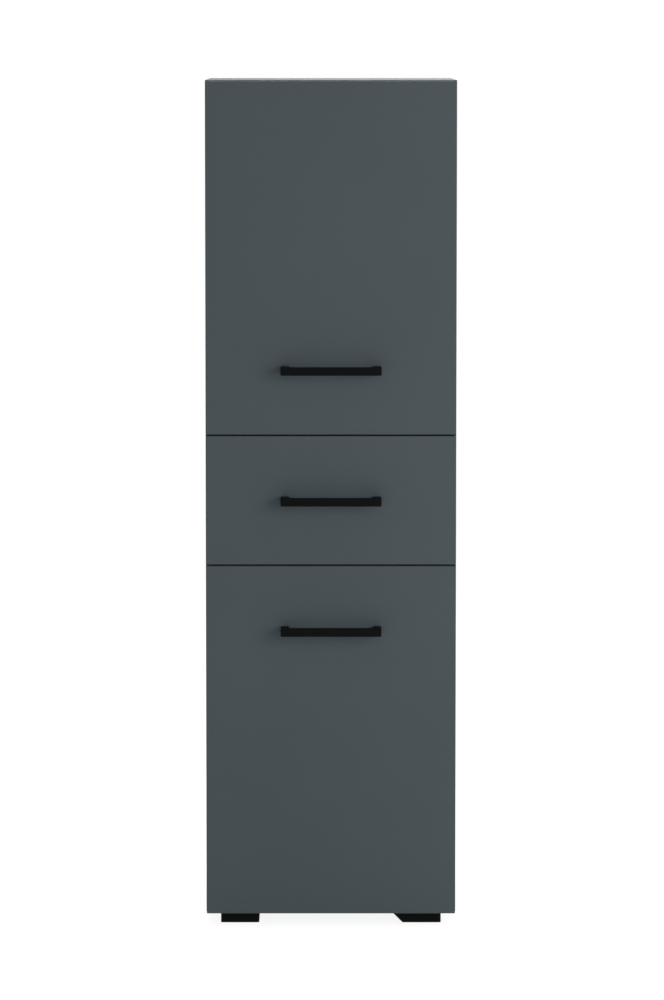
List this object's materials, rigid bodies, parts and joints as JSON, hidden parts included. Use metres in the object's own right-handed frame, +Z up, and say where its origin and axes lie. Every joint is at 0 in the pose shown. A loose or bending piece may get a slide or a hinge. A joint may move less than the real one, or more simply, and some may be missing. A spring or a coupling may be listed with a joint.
{
  "type": "tall bathroom cabinet",
  "caption": "Tall narrow bathroom cabinet with hinged doors above and below a drawer, square bar pulls, shelves inside and low moulded feet.",
  "frame": {"origin": "bottom centre of the box that the closed cabinet fills, handles included, on the floor under the feet", "axes": "+Z up, fronts and handles face -Y, +X to the right of someone who faces the fronts"},
  "size_m": [0.35, 0.328, 1.186],
  "materials": {
    "carcass_board": "matt slate melamine on chipboard",
    "back_board": "thin fibreboard, slate film inside and raw brown outside",
    "front_board": "matt slate melamine",
    "drawer_board": "grey film-wrapped board",
    "handle_black": "matt black powder coat",
    "foot_plastic": "black moulded plastic",
    "zinc_steel": "zinc plated",
    "hinge_nickel": "nickel plated",
    "cam_zinc": "die-cast zinc",
    "dowel_wood": "beech",
    "bumper_clear": "translucent soft plastic",
    "runner_white": "white stove enamel",
    "roller_plastic": "white nylon"
  },
  "bodies": {
    "carcass": {"back_panel": "back_board", "bottom_panel": "carcass_board", "cabinet_runner_screws": "zinc_steel", "cam_bolts": "zinc_steel", "cam_locks": "cam_zinc", "carcass_dowels": "dowel_wood", "foot_screws": "zinc_steel", "front_left_foot": "foot_plastic", "front_right_foot": "foot_plastic", "front_roller_axles": "zinc_steel", "hinge_arms": "hinge_nickel", "hinge_plates": "hinge_nickel", "hinge_screws": "zinc_steel", "left_cabinet_runner": "runner_white", "left_side_panel": "carcass_board", "lower_divider": "carcass_board", "lower_shelf": "carcass_board", "rear_left_foot": "foot_plastic", "rear_right_foot": "foot_plastic", "right_cabinet_runner": "runner_white", "right_side_panel": "carcass_board", "shelf_pins": "zinc_steel", "top_panel": "carcass_board", "upper_divider": "carcass_board", "upper_shelf": "carcass_board"},
    "upper_door": {"upper_door_panel": "front_board", "upper_door_handle": "handle_black", "upper_handle_screws": "zinc_steel", "upper_hinge_cups": "hinge_nickel", "upper_hinge_pins": "zinc_steel", "upper_cup_screws": "zinc_steel", "upper_door_bumpers": "bumper_clear"},
    "lower_door": {"lower_door_panel": "front_board", "lower_door_handle": "handle_black", "lower_handle_screws": "zinc_steel", "lower_hinge_cups": "hinge_nickel", "lower_hinge_pins": "zinc_steel", "lower_cup_screws": "zinc_steel", "lower_door_bumpers": "bumper_clear"},
    "drawer": {"drawer_front": "front_board", "drawer_handle": "handle_black", "drawer_handle_screws": "zinc_steel", "drawer_left_side": "drawer_board", "drawer_right_side": "drawer_board", "drawer_back": "drawer_board", "drawer_bottom": "back_board", "drawer_cam_locks": "cam_zinc", "drawer_cam_bolts": "zinc_steel", "drawer_dowels": "dowel_wood", "drawer_screws": "zinc_steel", "drawer_bumpers": "bumper_clear", "left_drawer_runner": "runner_white", "right_drawer_runner": "runner_white", "rear_roller_axles": "zinc_steel"},
    "left_front_roller_body": {"left_front_roller": "roller_plastic"},
    "right_front_roller_body": {"right_front_roller": "roller_plastic"},
    "left_rear_roller_body": {"left_rear_roller": "roller_plastic"},
    "right_rear_roller_body": {"right_rear_roller": "roller_plastic"}
  },
  "joints": [
    {"name": "upper_door_swing", "type": "hinge", "parent": "carcass", "child": "upper_door", "pos_m": [-0.167, -0.1285, 0.9395], "axis": [0, 0, -1], "range_deg": [0, 95]},
    {"name": "lower_door_swing", "type": "hinge", "parent": "carcass", "child": "lower_door", "pos_m": [-0.167, -0.1285, 0.2645], "axis": [0, 0, -1], "range_deg": [0, 95]},
    {"name": "drawer_slide", "type": "slide", "parent": "carcass", "child": "drawer", "axis": [0, -1, 0], "range_m": [0, 0.19]},
    {"name": "left_front_roller_spin", "type": "hinge", "parent": "carcass", "child": "left_front_roller_body", "pos_m": [-0.1531, -0.105, 0.54], "axis": [1, 0, 0], "continuous": true},
    {"name": "left_rear_roller_spin", "type": "hinge", "parent": "drawer", "child": "left_rear_roller_body", "pos_m": [-0.1524, 0.12, 0.53925], "axis": [1, 0, 0], "continuous": true},
    {"name": "right_front_roller_spin", "type": "hinge", "parent": "carcass", "child": "right_front_roller_body", "pos_m": [0.1531, -0.105, 0.54], "axis": [1, 0, 0], "continuous": true},
    {"name": "right_rear_roller_spin", "type": "hinge", "parent": "drawer", "child": "right_rear_roller_body", "pos_m": [0.1524, 0.12, 0.53925], "axis": [1, 0, 0], "continuous": true}
  ],
  "couplings": [
    {"joint": "left_front_roller_spin", "follows": "drawer_slide", "rad_per_m": 121.95},
    {"joint": "left_rear_roller_spin", "follows": "drawer_slide", "rad_per_m": 121.95},
    {"joint": "right_front_roller_spin", "follows": "drawer_slide", "rad_per_m": 121.95},
    {"joint": "right_rear_roller_spin", "follows": "drawer_slide", "rad_per_m": 121.95}
  ]
}
